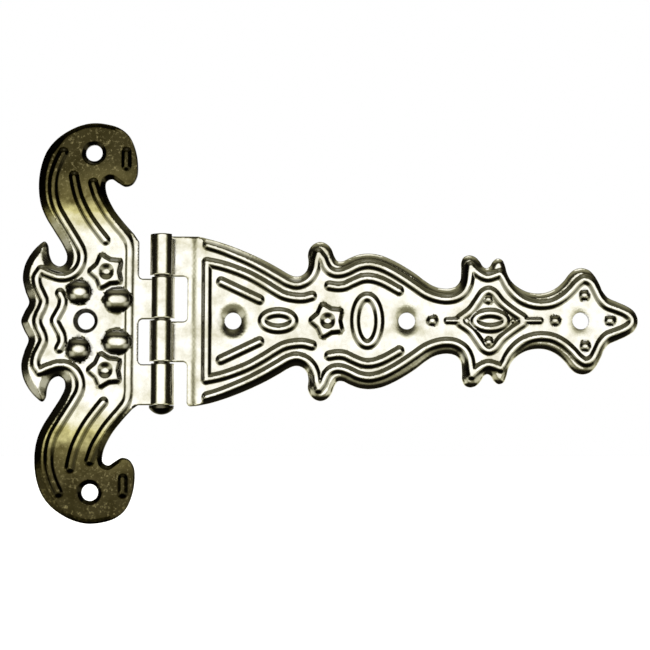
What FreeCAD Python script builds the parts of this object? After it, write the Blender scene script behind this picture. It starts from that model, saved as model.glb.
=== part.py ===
import FreeCAD, Part
import math
import os

# Ornamental T-hinge of stamped sheet steel: a winged frame leaf, a long strap leaf and the pin
# that joins their knuckles. Millimetres. +X runs to the strap's tip, +Z up along the pin, and
# the decorated front faces -Y. The backs of both leaves lie in the plane y = 0, and the origin
# is the centre of the frame leaf's middle screw hole on that plane.

V = FreeCAD.Vector

# Driving dimensions.
SHEET = 1.5            # sheet thickness
PIN_X = 26.3           # pin axis, from the frame leaf's middle hole
BARREL_R = 4.3         # outside radius of the rolled knuckles
BORE_R = BARREL_R - SHEET
PIN_PLAY = 0.05        # radial clearance of the pin in the knuckles
SLIT = 0.25            # gap between the end of a curl and its own leaf

# Knuckles from the top: 1 and 3 belong to the strap, 2 and 4 to the frame leaf.
BARREL_TOP = 29.1
KNUCKLE = 13.9
KNUCKLE_GAP = 0.7

# Clearance notches in each leaf, beside the other leaf's knuckles.
LEAF_NOTCH_U = 8.5     # distance from the pin axis to the notch's side
STRAP_NOTCH_U = 8.1
NOTCH_R = 1.4          # corner radius
WING_DROP = 2.7        # from the end of the wing's edge down to the frame leaf's upper notch

# Pin: a domed head below the barrel, and a plain end flush with its top.
PIN_R = BORE_R - PIN_PLAY
HEAD_R = 4.2
HEAD_RIM = 0.9         # straight side of the head
HEAD_DOME = 2.2
HEAD_GAP = 0.15        # play between the head and the lowest knuckle
PIN_TOP = 0.3          # how far the plain end stands out of the barrel
PIN_CHAMFER = 0.5

# Countersunk screw holes.
HOLE_R = 2.85
SINK_R = 4.1
HOLE_WALL = 0.8        # straight wall, measured from the back

# Stamped relief on the front.
BEAD_W = 3.2
BEAD_H = 0.85
CREST_W = 1.5          # flat top of a bead
DOME_R = 4.3
DOME_H = 1.7
DOT_R = 1.8
DOT_H = 0.9

# Screw holes: (distance from the pin axis, height).
LEAF_HOLES = [(PIN_X - 2.0, 57.95), (PIN_X, 0.0), (PIN_X - 2.0, -57.95)]
STRAP_HOLE_PITCH = 59.1
STRAP_HOLES = [(23.7 + i * STRAP_HOLE_PITCH, 0.0) for i in range(3)]

# Upper half of the frame leaf's outline, as (distance from the pin axis, height): from the
# middle of the scalloped edge, round the hook and its notch, up the wing and round its beak.
LEAF_EDGE = [
    (48.5, 0.0), (47.4, 3.2), (45.9, 6.3), (47.2, 10.2), (48.2, 14.6), (47.6, 19.0),
    (45.6, 23.0), (43.0, 26.0), (40.9, 27.4), (39.8, 26.2), (39.2, 22.6), (37.9, 19.9),
    (35.5, 18.8), (33.7, 19.9), (33.2, 22.3), (34.3, 25.3), (37.9, 31.2), (40.6, 35.6),
    (42.4, 40.0), (43.2, 45.0), (43.1, 50.0), (42.1, 55.0), (40.3, 59.2), (36.9, 63.2),
    (31.0, 66.9), (25.5, 68.4), (20.3, 68.1), (15.6, 66.6), (12.3, 63.8), (10.3, 59.6),
    (9.3, 54.5), (9.5, 49.8), (11.2, 47.0), (13.6, 46.3), (15.9, 47.5), (18.3, 48.9),
    (20.1, 47.9), (20.1, 44.6), (17.6, 38.9), (13.7, 33.7), (10.3, 29.9),
]

# Upper half of the strap's outline: the wide end, the first prong, the long belly, the two
# prongs of the cross, the waist, the side lobe and the tip.
STRAP_EDGE = [
    (11.5, 28.9), (15.5, 28.1), (20.0, 26.8), (25.0, 25.0), (30.0, 22.9), (35.0, 20.5),
    (39.5, 18.0), (42.7, 16.1), (45.0, 15.3), (47.2, 15.8), (48.8, 17.5), (49.3, 20.0),
    (49.1, 22.8), (49.8, 25.0), (51.4, 26.6), (53.5, 27.2), (55.6, 26.5), (57.2, 24.8),
    (58.2, 22.3), (59.3, 20.6), (60.9, 20.5), (63.5, 21.7), (66.5, 22.8), (70.0, 23.2),
    (74.0, 22.6), (78.0, 21.0), (82.0, 18.8), (86.0, 16.2), (89.0, 13.9), (91.7, 12.2),
    (94.5, 11.3), (97.4, 11.2), (99.7, 12.0), (101.1, 14.0), (101.4, 17.0), (101.5, 20.2),
    (102.4, 21.9), (104.3, 22.6), (106.3, 22.0), (107.9, 20.4), (109.0, 18.7), (110.1, 18.1),
    (111.2, 18.7), (112.3, 20.4), (113.9, 21.5), (115.6, 20.9), (116.5, 19.0), (117.2, 16.4),
    (118.6, 13.7), (120.9, 11.6), (123.8, 10.1), (127.0, 9.5), (130.4, 9.8), (133.7, 11.3),
    (136.4, 13.7), (138.3, 16.1), (140.1, 17.6), (142.5, 18.2), (145.0, 17.5), (147.0, 15.5),
    (148.6, 12.7), (149.8, 10.0), (151.5, 8.0), (154.5, 6.6), (157.8, 5.1), (160.0, 3.6),
    (161.1, 1.9), (161.5, 0.0),
]

# Crest lines of the raised beads, upper halves, in the same coordinates.
LEAF_RIM = [
    (34.7, 57.8), (36.4, 54.2), (37.7, 49.9), (38.0, 46.0), (37.6, 42.2), (36.5, 38.6),
    (34.5, 35.0), (31.9, 30.8), (29.5, 26.9), (28.0, 24.0), (27.6, 21.6), (28.2, 18.9),
    (29.9, 16.5), (32.4, 15.1), (35.3, 14.9), (38.6, 15.9), (41.6, 17.2),
]
LEAF_SCALLOP = [
    (41.6, 17.2), (43.0, 14.8), (42.6, 11.8), (41.4, 9.2), (40.4, 6.7), (41.0, 4.3),
    (42.1, 2.0), (42.6, 0.0),
]
LEAF_WING = [
    (30.9, 49.6), (30.3, 46.5), (29.2, 42.5), (27.4, 38.5), (25.3, 34.8), (22.8, 31.3),
    (19.8, 27.5),
]
LEAF_INNER = [
    (24.3, 47.2), (22.8, 42.8), (21.0, 39.5), (18.9, 36.2), (16.3, 32.9), (13.8, 29.9),
    (12.2, 27.4), (11.6, 24.5), (11.6, 20.0), (11.6, 10.0),
]
LEAF_CHEVRON = [(35.0, 9.4), (34.0, 7.2), (34.3, 4.8), (35.6, 2.2), (36.6, 0.0)]
LEAF_BEAK = [(13.1, 58.0), (13.1, 53.3)]
LEAF_DOMES = [(28.6, 9.8), (16.2, 7.2)]
LEAF_STAR = (19.3, 16.8)

STRAP_RIM = [
    (15.0, 25.8), (19.5, 24.4), (24.5, 22.4), (29.5, 20.2), (34.5, 17.6), (39.5, 14.7),
    (42.5, 13.0), (45.5, 12.3), (48.5, 13.3), (50.6, 15.3), (51.8, 18.0), (52.2, 20.6),
    (52.8, 23.0),
]
STRAP_BELLY = [
    (52.8, 23.0), (54.2, 21.2), (55.0, 19.2), (56.3, 17.3), (58.2, 16.3), (60.6, 16.3),
    (63.2, 17.2), (66.1, 18.6), (69.6, 19.3), (73.5, 18.6), (77.5, 16.8), (81.5, 14.4),
    (85.5, 11.7), (89.0, 9.3), (92.4, 7.9), (96.0, 7.3), (99.4, 7.8), (102.2, 9.6),
    (103.7, 12.2), (104.3, 15.3), (104.6, 18.5),
]
STRAP_CROSS = [
    (104.6, 18.5), (106.5, 16.7), (108.7, 15.2), (110.5, 14.8), (112.4, 15.3), (114.5, 16.1),
]
STRAP_TIP = [
    (114.5, 16.1), (115.8, 14.4), (117.0, 12.0), (119.1, 9.3), (122.0, 7.0), (125.5, 5.7),
    (129.0, 5.4), (132.5, 6.0), (136.0, 7.9), (138.8, 10.4), (141.0, 12.8), (143.2, 14.1),
    (145.4, 13.1), (147.0, 10.6), (148.5, 7.6), (150.5, 5.4), (154.0, 4.0), (157.0, 2.7),
    (158.8, 1.2), (159.3, 0.0),
]
STRAP_FRAME = [
    (14.8, 19.9), (19.5, 18.9), (24.5, 17.3), (29.5, 15.2), (34.5, 12.4), (38.0, 10.2),
    (41.0, 8.6), (44.5, 7.8), (47.8, 7.7), (50.6, 8.4),
]
STRAP_BAR = [(19.7, 13.3), (32.8, 7.1)]
STRAP_WAVE = [
    (56.4, 11.9), (59.0, 11.5), (61.5, 11.7), (64.6, 13.1), (68.0, 14.4), (71.0, 14.4),
    (74.5, 13.3), (80.2, 10.2),
]
STRAP_DIAMOND = [
    (100.9, 0.7), (104.5, 3.4), (107.0, 6.8), (108.8, 9.3), (110.5, 10.1), (112.2, 9.4),
    (114.8, 6.3), (118.2, 3.5), (122.2, 0.8),
]
STRAP_STEMS = [[(96.4, 0.0), (101.5, 0.0)], [(121.5, 0.0), (128.0, 0.0)]]
STRAP_RINGS = [(39.1, 5.2, 2.8), (69.3, 4.1, 8.1), (111.0, 5.2, 2.6)]
STRAP_STAR = (55.9, 0.0)
STRAP_DOTS = [(91.4, 0.0), (133.1, 0.0), (151.7, 0.0), (143.2, 8.7), (143.2, -8.7)]
STAR_TIPS = 5
STAR_TIP_R = 4.9
STAR_WAIST_R = 3.3


def on_leaf(points):
    """Points on the back plane of the frame leaf, given as (distance from the pin axis, height)."""
    return [V(PIN_X - u, 0, z) for u, z in points]


def on_strap(points):
    """The same for the strap, on the other side of the pin."""
    return [V(PIN_X + u, 0, z) for u, z in points]


def below(points):
    """The mirror image of an upper half, in reverse order, without its points on the middle line."""
    return [(u, -z) for u, z in reversed(points) if z > 0]


def spline(points):
    """A smooth edge through the points."""
    curve = Part.BSplineCurve()
    curve.interpolate(points)
    return curve.toShape()


def rounded_path(points, radius):
    """Straight runs through the points, with an arc at each corner between them."""
    edges = []
    start = points[0]
    for before, corner, after in zip(points, points[1:], points[2:]):
        back = (before - corner).normalize()
        ahead = (after - corner).normalize()
        half = back.getAngle(ahead) / 2
        first = corner + back * (radius / math.tan(half))
        last = corner + ahead * (radius / math.tan(half))
        middle = corner + (back + ahead).normalize() * (radius / math.sin(half) - radius)
        edges.append(Part.makeLine(start, first))
        edges.append(Part.Arc(first, middle, last).toShape())
        start = last
    edges.append(Part.makeLine(start, points[-1]))
    return edges


def plate(edges):
    """The flat blank inside the outline, with its back at y = 0."""
    outline = Part.Wire(Part.__sortEdges__(edges))
    return Part.Face(outline).extrude(V(0, -SHEET, 0))


def knuckle_bottom(number):
    """Lower end of a knuckle, counted from 1 at the top."""
    return BARREL_TOP - number * KNUCKLE - (number - 1) * KNUCKLE_GAP


def knuckle_top(number):
    """Upper end of a knuckle."""
    return knuckle_bottom(number) + KNUCKLE


def curl(side, number):
    """One rolled knuckle and its bore. side is +1 where the sheet arrives from +X."""
    axis = V(PIN_X, -BARREL_R, knuckle_bottom(number))
    bore = Part.makeCylinder(BORE_R, KNUCKLE, axis)
    slit = Part.makeBox(BARREL_R, SLIT, KNUCKLE)
    slit.translate(V(PIN_X + (side - 1) / 2 * BARREL_R, -SHEET - SLIT, axis.z))
    return Part.makeCylinder(BARREL_R, KNUCKLE, axis).cut(slit), bore


def screw_hole(centre):
    """The material that a countersunk hole takes away."""
    front = V(0, -1, 0)
    wall = Part.makeCylinder(HOLE_R, SHEET, centre, front)
    sink = Part.makeCone(HOLE_R, SINK_R, SHEET - HOLE_WALL, centre + front * HOLE_WALL, front)
    return wall.fuse(sink)


def raised(face, height):
    """A flat boss of the face's shape, on the front of the sheet."""
    base = face.copy()
    base.translate(V(0, -SHEET, 0))
    return base.extrude(V(0, -height, 0))


def band(points, half_width, depth):
    """The outline, with round ends, of a strip of the given half width along a run of points."""
    run = Part.BSplineCurve()
    run.interpolate(points)
    left, right, ways = [], [], []
    for point in points:
        way = V(*run.tangent(run.parameter(point))[0]).normalize()
        across = V(-way.z, 0, way.x) * half_width
        left.append(point + across)
        right.append(point - across)
        ways.append(way * half_width)
    caps = [Part.Arc(left[-1], points[-1] + ways[-1], right[-1]).toShape(),
            Part.Arc(right[0], points[0] - ways[0], left[0]).toShape()]
    outline = Part.Wire([spline(left), caps[0], spline(right[::-1]), caps[1]])
    outline.translate(V(0, depth, 0))
    return outline


def bead(points):
    """A raised bead of trapezoid section along a run of points."""
    foot = band(points, BEAD_W / 2, -SHEET)
    crest = band(points, CREST_W / 2, -SHEET - BEAD_H)
    return Part.makeLoft([foot, crest], True, True)


def oval(centre, half_x, half_z, height):
    """A flat oval boss."""
    along_x = V(half_x, 0, 0)
    along_z = V(0, 0, half_z)
    major, minor = (along_x, along_z) if half_x >= half_z else (along_z, along_x)
    curve = Part.Ellipse(centre + major, centre + minor, centre)
    return raised(Part.Face(Part.Wire([curve.toShape()])), height)


def ring(centre, half_x, half_z):
    """An oval bead whose crest has the given half axes."""
    outer = oval(centre, half_x + BEAD_W / 2, half_z + BEAD_W / 2, BEAD_H)
    return outer.cut(oval(centre, half_x - BEAD_W / 2, half_z - BEAD_W / 2, BEAD_H))


def dome(centre, radius, height):
    """A spherical cap."""
    ball_r = (radius ** 2 + height ** 2) / (2 * height)
    middle = centre + V(0, ball_r - SHEET - height, 0)
    rim_angle = math.degrees(math.asin((ball_r - height) / ball_r))
    return Part.makeSphere(ball_r, middle, V(0, -1, 0), rim_angle, 90)


def star(centre):
    """A five-point star bead with one tip towards -X."""
    corners = []
    for i in range(2 * STAR_TIPS + 1):
        radius = STAR_WAIST_R if i % 2 else STAR_TIP_R
        angle = math.pi * (1 + i / STAR_TIPS)
        corners.append(centre + V(radius * math.cos(angle), 0, radius * math.sin(angle)))
    outline = Part.makePolygon(corners)
    outer = Part.Face(outline.makeOffset2D(BEAD_W / 2))
    inner = Part.Face(outline.makeOffset2D(-BEAD_W / 2))
    return raised(outer.cut(inner), BEAD_H)


def leaf_blank():
    """The frame leaf's flat sheet, with tabs for knuckles 2 and 4."""
    wing = spline(on_leaf(below(LEAF_EDGE) + LEAF_EDGE))
    wing_u, wing_z = LEAF_EDGE[-1]
    upper_notch = rounded_path(on_leaf([
        (wing_u, wing_z), (LEAF_NOTCH_U, wing_z - WING_DROP), (LEAF_NOTCH_U, knuckle_top(2)),
        (0, knuckle_top(2))]), NOTCH_R)
    middle_notch = rounded_path(on_leaf([
        (0, knuckle_bottom(2)), (LEAF_NOTCH_U, knuckle_bottom(2)),
        (LEAF_NOTCH_U, knuckle_top(4)), (0, knuckle_top(4))]), NOTCH_R)
    lower_edge = rounded_path(on_leaf([
        (0, knuckle_bottom(4)), (LEAF_NOTCH_U, knuckle_bottom(4)), (wing_u, -wing_z)]), NOTCH_R)
    tabs = [Part.makeLine(*on_leaf([(0, knuckle_top(n)), (0, knuckle_bottom(n))])) for n in (2, 4)]
    return plate([wing] + upper_notch + middle_notch + lower_edge + tabs)


def strap_blank():
    """The strap's flat sheet, with tabs for knuckles 1 and 3."""
    sides = spline(on_strap(STRAP_EDGE + below(STRAP_EDGE)))
    wide_u, wide_z = STRAP_EDGE[0]
    upper_edge = Part.makeLine(*on_strap([(wide_u, wide_z), (0, knuckle_top(1))]))
    middle_notch = rounded_path(on_strap([
        (0, knuckle_bottom(1)), (STRAP_NOTCH_U, knuckle_bottom(1)),
        (STRAP_NOTCH_U, knuckle_top(3)), (0, knuckle_top(3))]), NOTCH_R)
    lower_notch = rounded_path(on_strap([
        (0, knuckle_bottom(3)), (STRAP_NOTCH_U, knuckle_bottom(3)),
        (STRAP_NOTCH_U, -knuckle_top(1)), (wide_u, -wide_z)]), NOTCH_R)
    tabs = [Part.makeLine(*on_strap([(0, knuckle_top(n)), (0, knuckle_bottom(n))])) for n in (1, 3)]
    return plate([sides, upper_edge] + middle_notch + lower_notch + tabs)


def leaf_relief():
    """Beads, domes and stars on the frame leaf."""
    runs = [LEAF_SCALLOP + below(LEAF_SCALLOP), LEAF_CHEVRON + below(LEAF_CHEVRON),
            LEAF_INNER + below(LEAF_INNER)]
    for run in (LEAF_RIM, LEAF_WING, LEAF_BEAK):
        runs += [run, below(run)]
    pieces = [bead(on_leaf(run)) for run in runs]
    for u, z in LEAF_DOMES:
        pieces += [dome(centre, DOME_R, DOME_H) for centre in on_leaf([(u, z), (u, -z)])]
    u, z = LEAF_STAR
    pieces += [star(centre) for centre in on_leaf([(u, z), (u, -z)])]
    return pieces


def strap_relief():
    """Beads, rings, the star and dots on the strap."""
    corner_u, corner_z = STRAP_FRAME[0]
    runs = STRAP_STEMS + [STRAP_TIP + below(STRAP_TIP), [(corner_u, corner_z), (corner_u, -corner_z)]]
    for run in (STRAP_RIM, STRAP_BELLY, STRAP_CROSS, STRAP_WAVE, STRAP_FRAME, STRAP_BAR, STRAP_DIAMOND):
        runs += [run, below(run)]
    pieces = [bead(on_strap(run)) for run in runs]
    for u, half_x, half_z in STRAP_RINGS:
        pieces += [ring(centre, half_x, half_z) for centre in on_strap([(u, 0)])]
    pieces += [star(centre) for centre in on_strap([STRAP_STAR])]
    pieces += [dome(centre, DOT_R, DOT_H) for centre in on_strap(STRAP_DOTS)]
    return pieces


def leaf(blank, side, knuckles, relief, holes):
    """Roll the knuckles on a blank, raise its relief and sink its screw holes."""
    curls = [curl(side, number) for number in knuckles]
    solid = blank.multiFuse([tube for tube, bore in curls] + relief)
    return solid.cut([bore for tube, bore in curls] + [screw_hole(centre) for centre in holes])


def pin():
    """The hinge pin, with its domed head below the barrel."""
    head_z = knuckle_bottom(4) - HEAD_GAP
    shank = Part.makeCylinder(PIN_R, BARREL_TOP + PIN_TOP - head_z, V(PIN_X, -BARREL_R, head_z))
    top = [e for e in shank.Edges if all(v.Z > BARREL_TOP for v in e.Vertexes)]
    shank = shank.makeChamfer(PIN_CHAMFER, top)
    rim = Part.makeCylinder(HEAD_R, HEAD_RIM, V(PIN_X, -BARREL_R, head_z - HEAD_RIM))
    ball_r = (HEAD_R ** 2 + HEAD_DOME ** 2) / (2 * HEAD_DOME)
    low = head_z - HEAD_RIM - HEAD_DOME
    ball = Part.makeSphere(ball_r, V(PIN_X, -BARREL_R, low + ball_r))
    cap = ball.common(Part.makeCylinder(HEAD_R, HEAD_DOME, V(PIN_X, -BARREL_R, low)))
    return shank.multiFuse([rim, cap]).removeSplitter()


def main():
    """Write one STEP file for each piece."""
    os.makedirs("parts", exist_ok=True)
    nodes = {
        "frame_leaf": leaf(leaf_blank(), -1, (2, 4), leaf_relief(), on_leaf(LEAF_HOLES)),
        "strap_leaf": leaf(strap_blank(), 1, (1, 3), strap_relief(), on_strap(STRAP_HOLES)),
        "hinge_pin": pin(),
    }
    for name, shape in nodes.items():
        box = shape.BoundBox
        print(name, "solids", len(shape.Solids), "valid", shape.isValid(),
              "volume", round(shape.Volume, 1), "x", round(box.XMin, 2), round(box.XMax, 2),
              "y", round(box.YMin, 2), round(box.YMax, 2), "z", round(box.ZMin, 2), round(box.ZMax, 2))
        shape.exportStep("parts/" + name + ".step")


main()
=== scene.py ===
import logging
import math
from dataclasses import dataclass
from enum import Enum
from functools import partial

import bpy
import numpy as np
from mathutils.geometry import delaunay_2d_cdt
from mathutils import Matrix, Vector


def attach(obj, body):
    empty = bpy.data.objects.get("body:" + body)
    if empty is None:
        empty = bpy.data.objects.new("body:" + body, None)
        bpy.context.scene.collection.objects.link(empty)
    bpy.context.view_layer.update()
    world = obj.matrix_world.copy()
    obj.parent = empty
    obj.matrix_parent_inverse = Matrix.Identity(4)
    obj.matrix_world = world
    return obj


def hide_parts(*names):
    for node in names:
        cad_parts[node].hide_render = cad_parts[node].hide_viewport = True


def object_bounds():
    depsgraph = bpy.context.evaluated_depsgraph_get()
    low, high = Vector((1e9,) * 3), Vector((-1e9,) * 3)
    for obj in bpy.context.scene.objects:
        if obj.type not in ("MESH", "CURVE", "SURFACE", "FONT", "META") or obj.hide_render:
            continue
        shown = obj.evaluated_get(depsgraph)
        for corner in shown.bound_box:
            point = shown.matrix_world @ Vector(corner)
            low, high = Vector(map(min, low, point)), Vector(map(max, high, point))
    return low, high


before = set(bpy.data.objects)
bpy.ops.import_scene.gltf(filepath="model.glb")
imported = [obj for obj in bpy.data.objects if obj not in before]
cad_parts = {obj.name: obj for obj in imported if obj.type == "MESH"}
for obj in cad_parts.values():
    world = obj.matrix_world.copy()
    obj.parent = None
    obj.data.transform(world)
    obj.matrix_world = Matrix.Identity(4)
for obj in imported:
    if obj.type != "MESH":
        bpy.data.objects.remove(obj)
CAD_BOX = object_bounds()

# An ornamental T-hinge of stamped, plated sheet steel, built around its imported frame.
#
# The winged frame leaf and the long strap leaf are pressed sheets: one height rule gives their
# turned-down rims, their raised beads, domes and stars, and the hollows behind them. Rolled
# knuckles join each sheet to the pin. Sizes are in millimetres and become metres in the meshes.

Point = tuple[float, float]
Line = tuple[Point, ...]

MM = 0.001
LOG = logging.getLogger("hinge")


class Side(Enum):
    """The way a leaf runs from the pin: the sign of its distances along X."""

    FRAME = -1
    STRAP = 1


# ---- shapes shared by both leaves


@dataclass(frozen=True)
class Sheet:
    """Section sizes of the pressed sheet, in millimetres above the wall."""

    tab: float = 1.5          # front of the flat tabs beside the barrel
    field: float = 2.3        # front of the raised field inside the rim
    metal: float = 1.0        # thickness of the drawn metal, and front of the rim's edge
    tab_end: float = 8.7      # distance from the pin where the tabs start to rise
    edge_round: float = 0.38  # radius of the sheet's front edge
    bead_width: float = 4.0
    bead_height: float = 0.85
    crest_half: float = 0.3   # half width of a bead's level crest
    hollow: float = 0.85      # how much of a bead's height its hollow behind has
    hollow_from: float = 0.2  # no hollow nearer a hole's edge than this,
    hollow_over: float = 2.2  # and it is full this much farther out
    least: float = 0.6        # least thickness where the sheet is sunk
    merging: int = 6          # how sharply raised shapes meet: higher leaves a sharper line
    rim_over: float = 3.0     # distance over which the turned-down rim begins
    hole_r: float = 2.85


SHEET = Sheet()


@dataclass(frozen=True)
class Fineness:
    """Spacings of the vertices, in millimetres, and numbers of rings."""

    line: float = 0.5         # along outlines and beads
    dome: float = 0.45
    pit: float = 0.4          # round a star's pit
    grid: float = 1.1         # on the plain field
    row_share: float = 0.87   # distance between the field's rows, as a share of that
    close: float = 0.17       # least spacing within the relief
    apart: float = 0.42       # least spacing of the plain field from the relief
    edge_gap: float = 0.06    # least distance from the outline
    hole_gap: float = 0.1     # least distance from a hole's edge
    edge_insets: tuple[float, ...] = (0.09, 0.2, SHEET.edge_round)
    inset_share: float = 0.96   # an inset vertex nearer the edge than this share is left out
    rim_shares: tuple[float, ...] = (0.5, 0.75, 0.92, 1.0, 1.12)   # of the rim's width
    slope_shares: tuple[float, ...] = (0.0, 0.2, 0.4, 0.6, 0.8, 1.0, 1.22)   # of a bead's slope
    hole_lips: tuple[float, ...] = (0.12, 0.3, 0.7)   # first rings outside a hole's edge
    foot: float = 0.3         # distance of the last ring past a sunk surround
    hole_sides: int = 40
    oval_sides: int = 24      # fewest sides of an oval
    pit_rings: int = 6
    dish_rings: int = 7
    cone_rings: int = 4
    smooth_deg: float = 42.0  # edges that turn less than this are shaded smooth


MESH = Fineness()


@dataclass(frozen=True)
class Barrel:
    """Sizes of the rolled barrel and its pin, in millimetres."""

    axis_x: float = 26.3
    outer_r: float = 4.3
    bore_r: float = 2.8
    top: float = 29.1
    knuckle: float = 13.9
    gap: float = 0.7
    slit: float = 0.25         # between the end of the rolled strip and the tab
    turn_steps: int = 48
    edge_break: float = 0.28   # bevel on the edges of a knuckle
    edge_turn_deg: float = 60.0
    loop_inset: float = 0.6    # edge loop beside each end, which keeps the barrel's shading even
    weld: float = 0.002

    def bottom_of(self, number: int) -> float:
        """Lower end of a knuckle, counted from 1 at the top."""
        return self.top - number * self.knuckle - (number - 1) * self.gap

    def top_of(self, number: int) -> float:
        """Upper end of a knuckle."""
        return self.bottom_of(number) + self.knuckle

    def notch(self, above: int, below: int, reach: float) -> Line:
        """Corners of the notch between two knuckles of one leaf, from the top down."""
        top, bottom = self.bottom_of(above), self.top_of(below)
        return (0.0, top), (reach, top), (reach, bottom), (0.0, bottom)


BARREL = Barrel()


def mirrored(points: Line) -> Line:
    """The lower half that mirrors an upper half, in reverse order, without its middle points."""
    return tuple((u, -z) for u, z in reversed(points) if z > 0)


def smooth_line(points: Line) -> np.ndarray:
    """Samples a smooth curve through the points.

    Args:
        points: Points that the curve passes through.

    Returns:
        The samples, one row each, with both ends.
    """
    knots = np.array(points, float)
    padded = np.vstack([2 * knots[0] - knots[1], knots, 2 * knots[-1] - knots[-2]])
    rows = []
    for four in zip(padded, padded[1:], padded[2:], padded[3:]):
        at = [0.0]
        for a, b in zip(four, four[1:]):
            at.append(at[-1] + math.sqrt(np.linalg.norm(b - a)))
        count = max(1, round(np.linalg.norm(four[2] - four[1]) / MESH.line))
        t = np.linspace(at[1], at[2], count, endpoint=False)[:, None]
        blends = four
        for spans in (((0, 1), (1, 2), (2, 3)), ((0, 2), (1, 3)), ((1, 2),)):
            blends = [(at[j] - t) / (at[j] - at[i]) * a + (t - at[i]) / (at[j] - at[i]) * b
                      for (i, j), a, b in zip(spans, blends, blends[1:])]
        rows.append(blends[0])
    return np.vstack(rows + [knots[-1:]])


def straight_line(points: Line) -> np.ndarray:
    """Samples straight runs through the points.

    Args:
        points: The corners and the two ends.

    Returns:
        The samples, one row each, with both ends.
    """
    rows = []
    for a, b in zip(points, points[1:]):
        count = max(1, round(math.dist(a, b) / MESH.line))
        t = np.linspace(0, 1, count, endpoint=False)[:, None]
        rows.append(np.array(a) * (1 - t) + np.array(b) * t)
    rows.append(np.array([points[-1]]))
    return np.vstack(rows)


def rounded_corners(points: Line, radius: float) -> Line:
    """Straight runs through the points, with each inner corner replaced by an arc.

    Args:
        points: The corners and the two ends.
        radius: Radius of the arcs.

    Returns:
        The two ends, and the points of each arc between them.
    """
    line = [points[0]]
    for before, corner, after in zip(points, points[1:], points[2:]):
        here = np.array(corner)
        back = (np.array(before) - here) / math.dist(before, corner)
        ahead = (np.array(after) - here) / math.dist(after, corner)
        half = math.acos(float(np.clip(back @ ahead, -1, 1))) / 2
        bisector = (back + ahead) / np.linalg.norm(back + ahead)
        centre = here + bisector * radius / math.sin(half)
        across = (ahead - back) / np.linalg.norm(ahead - back)
        for turn in np.linspace(-1, 1, 7) * (math.pi / 2 - half):
            arm = across * math.sin(turn) - bisector * math.cos(turn)
            line.append(tuple(centre + arm * radius))
    return (*line, points[-1])


def oval_line(centre: Point, half_u: float, half_z: float,
              step: float = MESH.line) -> np.ndarray:
    """Samples an oval, closed by repeating its first point.

    Args:
        centre: The oval's centre.
        half_u: Half its length along the leaf.
        half_z: Half its height.
        step: Distance between samples, in millimetres.

    Returns:
        The samples, one row each.
    """
    count = max(MESH.oval_sides, round(2 * math.pi * max(half_u, half_z) / step))
    turn = np.linspace(0, 2 * math.pi, count + 1)
    return np.column_stack([centre[0] + half_u * np.cos(turn), centre[1] + half_z * np.sin(turn)])


def unit_circle(count: int) -> np.ndarray:
    """Points round a circle of radius 1."""
    turn = np.linspace(0, 2 * math.pi, count, endpoint=False)
    return np.column_stack([np.cos(turn), np.sin(turn)])


def distance_to(line: np.ndarray, points: np.ndarray) -> np.ndarray:
    """Measures how far each point is from a run of straight pieces.

    Args:
        line: The corners and ends of the pieces.
        points: The points, one row each.

    Returns:
        The distances.
    """
    best = np.full(len(points), np.inf)
    for a, b in zip(line, line[1:]):
        run = b - a
        along = np.clip((points - a) @ run / max(run @ run, 1e-12), 0, 1)
        gap = points - a - along[:, None] * run
        best = np.minimum(best, np.einsum("ij,ij->i", gap, gap))
    return np.sqrt(best)


def inside(outline: np.ndarray, points: np.ndarray) -> np.ndarray:
    """Tests whether each point lies inside a closed outline.

    Args:
        outline: The outline's corners, without the first one repeated.
        points: The points, one row each.

    Returns:
        True for each point that is inside.
    """
    hit = np.zeros(len(points), bool)
    for (u0, z0), (u1, z1) in zip(outline, np.roll(outline, -1, axis=0)):
        if z0 == z1:
            continue
        spans = (z0 > points[:, 1]) != (z1 > points[:, 1])
        cross = (u1 - u0) * (points[:, 1] - z0) / (z1 - z0) + u0
        hit ^= spans & (points[:, 0] < cross)
    return hit


def eased(value: np.ndarray) -> np.ndarray:
    """Smooth step of values from 0 to 1."""
    t = np.clip(value, 0, 1)
    return t * t * (3 - 2 * t)


# ---- relief


@dataclass(frozen=True)
class Bead:
    """A raised bead along a line, with a level crest and soft feet."""

    line: np.ndarray
    width: float = SHEET.bead_width
    height: float = SHEET.bead_height
    crest_half: float = SHEET.crest_half
    low_within: float = 0.0   # the bead is lower where it is nearer the middle line than this
    lowering: float = 0.35
    lowering_over: float = 6.0

    def height_at(self, points: np.ndarray) -> np.ndarray:
        """Height of the bead above the field at each point."""
        reach = distance_to(self.line, points) - self.crest_half
        middle = eased((self.low_within - np.abs(points[:, 1])) / self.lowering_over)
        lowered = 1 - self.lowering * middle
        return self.height * lowered * (1 - eased(reach / (self.width / 2 - self.crest_half)))

    def offsets(self) -> list[float]:
        """Distances from the crest line at which the bead's section needs vertices."""
        slope = self.width / 2 - self.crest_half
        return [self.crest_half + slope * share for share in MESH.slope_shares]

    def mesh_points(self) -> list[np.ndarray]:
        """Lines of vertices along the bead: its crest, its slopes and its feet."""
        ways = np.gradient(self.line, axis=0)
        ways /= np.linalg.norm(ways, axis=1)[:, None]
        across = np.column_stack([-ways[:, 1], ways[:, 0]])
        lines = [self.line]
        for reach in self.offsets():
            lines += [self.line + across * reach, self.line - across * reach]
            turn = np.linspace(-math.pi / 2, math.pi / 2, 9)[1:-1, None]
            for end, sign in ((0, -1), (-1, 1)):
                arm = np.cos(turn) * (sign * ways[end]) + np.sin(turn) * across[end]
                lines.append(self.line[end] + reach * arm)
        return lines


def bead_pairs(*lines: Line) -> list[Bead]:
    """Beads along lines of the upper half, each followed by its mirror in the lower half."""
    return [Bead(smooth_line(half)) for line in lines for half in (line, mirrored(line))]


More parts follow.
